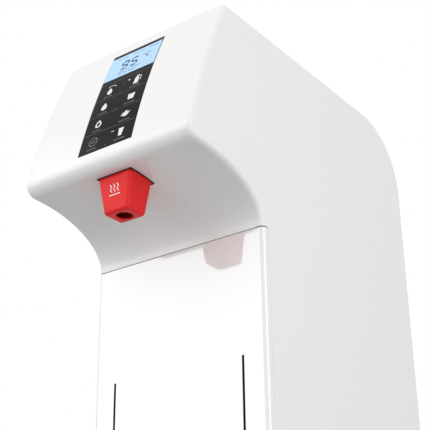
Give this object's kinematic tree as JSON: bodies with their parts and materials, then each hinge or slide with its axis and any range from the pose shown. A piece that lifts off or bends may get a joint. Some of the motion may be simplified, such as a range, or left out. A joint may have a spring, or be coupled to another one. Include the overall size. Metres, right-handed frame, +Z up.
{
  "type": "countertop hot water dispenser",
  "caption": "Tall column with an overhanging rounded head, touch display, red outlet cap, height-adjustable cup shelf and pull-out drip tray; boils and dispenses hot water.",
  "frame": {"origin": "centre of the footprint of the whole object, on the surface that it stands on", "axes": "+Z up, -Y towards the user, +X to the right of a user facing the object"},
  "size_m": [0.23, 0.478, 0.71],
  "materials": {
    "casing_white": "satin-gloss moulded covers",
    "splash_white": "high-gloss white panel",
    "panel_black": "polished black glass",
    "lcd_blue": "lit liquid-crystal display",
    "cap_red": "gloss moulded red plastic",
    "plastic_red": "moulded red plastic",
    "seal_black": "soft black seal",
    "seal_red": "silicone flange seal",
    "foot_rubber": "moulded rubber",
    "hose_silicone": "translucent silicone",
    "steel": "brushed stainless sheet",
    "steel_drawn": "drawn and welded stainless steel",
    "screw_steel": "bright plated steel",
    "element_metal": "dull nickel-alloy sheath",
    "brass": "turned brass",
    "plastic_black": "fine-textured black plastic",
    "plastic_grey": "moulded grey plastic",
    "plastic_ivory": "moulded ivory nylon",
    "plastic_orange": "moulded orange plastic",
    "pcb_green": "solder-masked board",
    "insulation": "felted mineral wool",
    "bakelite": "moulded brown phenolic"
  },
  "bodies": {
    "casing": {"base_pan": "casing_white", "tray_bed": "casing_white", "feet": "foot_rubber", "left_side_cover": "casing_white", "right_side_cover": "casing_white", "front_fascia": "casing_white", "splash_panel": "splash_white", "top_cover": "casing_white", "rear_panel": "casing_white", "case_screws": "screw_steel", "chassis_frame": "steel", "shelf_channels": "steel", "touch_panel": "panel_black", "display_frame": "plastic_black", "lcd_module": "lcd_blue", "key_board": "pcb_green", "display_board": "pcb_green", "cap_gasket": "seal_black", "spout_tube": "steel_drawn", "spout_bracket": "plastic_grey", "tank_stand": "steel", "tank_shell": "steel_drawn", "tank_gasket": "seal_red", "tank_lid": "steel_drawn", "tank_bolts": "screw_steel", "tank_insulation": "insulation", "heating_element": "element_metal", "element_nuts": "brass", "temperature_probe": "steel_drawn", "level_stem": "steel_drawn", "overheat_cutout": "bakelite", "inlet_fitting": "brass", "inlet_valve": "plastic_ivory", "valve_coil": "plastic_black", "plunger_spring": "steel", "flow_meter": "plastic_ivory", "pump_body": "plastic_black", "pump_motor": "steel", "suction_hose": "hose_silicone", "dispense_hose": "hose_silicone", "inlet_hose": "hose_silicone", "vent_hose": "hose_silicone", "drain_pipe": "steel_drawn", "drain_valve": "brass", "mains_inlet": "plastic_black", "power_switch": "plastic_black", "control_board": "pcb_green"},
    "shelf": {"cup_shelf": "steel", "shelf_slides": "plastic_grey"},
    "tray": {"drip_tray": "plastic_grey", "tray_front": "casing_white"},
    "grid": {"drip_grid": "steel"},
    "cap": {"outlet_cap": "cap_red"},
    "rocker": {"power_rocker": "plastic_red"},
    "impeller": {"pump_impeller": "plastic_orange"},
    "meter_rotor": {"flow_rotor": "plastic_orange"},
    "plunger": {"valve_plunger": "steel_drawn"},
    "float": {"level_float": "plastic_ivory"},
    "reset": {"reset_button": "plastic_red"},
    "lever": {"drain_lever": "plastic_red"}
  },
  "joints": [
    {"name": "shelf_height", "type": "slide", "parent": "casing", "child": "shelf", "axis": [0, 0, 1], "range_m": [0, 0.19]},
    {"name": "tray_pull", "type": "slide", "parent": "casing", "child": "tray", "axis": [0, -1, 0], "range_m": [0, 0.12]},
    {"name": "grid_lift", "type": "slide", "parent": "tray", "child": "grid", "axis": [0, 0, 1], "range_m": [0, 0.04]},
    {"name": "cap_pull", "type": "slide", "parent": "casing", "child": "cap", "axis": [0, 0, -1], "range_m": [0, 0.05]},
    {"name": "rocker_tilt", "type": "hinge", "parent": "casing", "child": "rocker", "pos_m": [0.032, 0.213, 0.183], "axis": [1, 0, 0], "range_deg": [-20, 0]},
    {"name": "impeller_spin", "type": "hinge", "parent": "casing", "child": "impeller", "pos_m": [0, 0.1008, 0.085], "axis": [0, 1, 0], "continuous": true},
    {"name": "meter_spin", "type": "hinge", "parent": "casing", "child": "meter_rotor", "pos_m": [-0.045, 0.1515, 0.098], "axis": [0, 0, 1], "continuous": true},
    {"name": "plunger_lift", "type": "slide", "parent": "casing", "child": "plunger", "axis": [0, 0, 1], "range_m": [0, 0.003], "stiffness_N_per_m": 150, "springref_m": -0.01, "deforming": ["plunger_spring"]},
    {"name": "float_lift", "type": "slide", "parent": "casing", "child": "float", "axis": [0, 0, 1], "range_m": [0, 0.02]},
    {"name": "reset_press", "type": "slide", "parent": "casing", "child": "reset", "axis": [0, -1, 0], "range_m": [0, 0.0015], "stiffness_N_per_m": 200},
    {"name": "drain_turn", "type": "hinge", "parent": "casing", "child": "lever", "pos_m": [0.03, 0.229, 0.048], "axis": [0, 0, 1], "range_deg": [0, 90]}
  ]
}
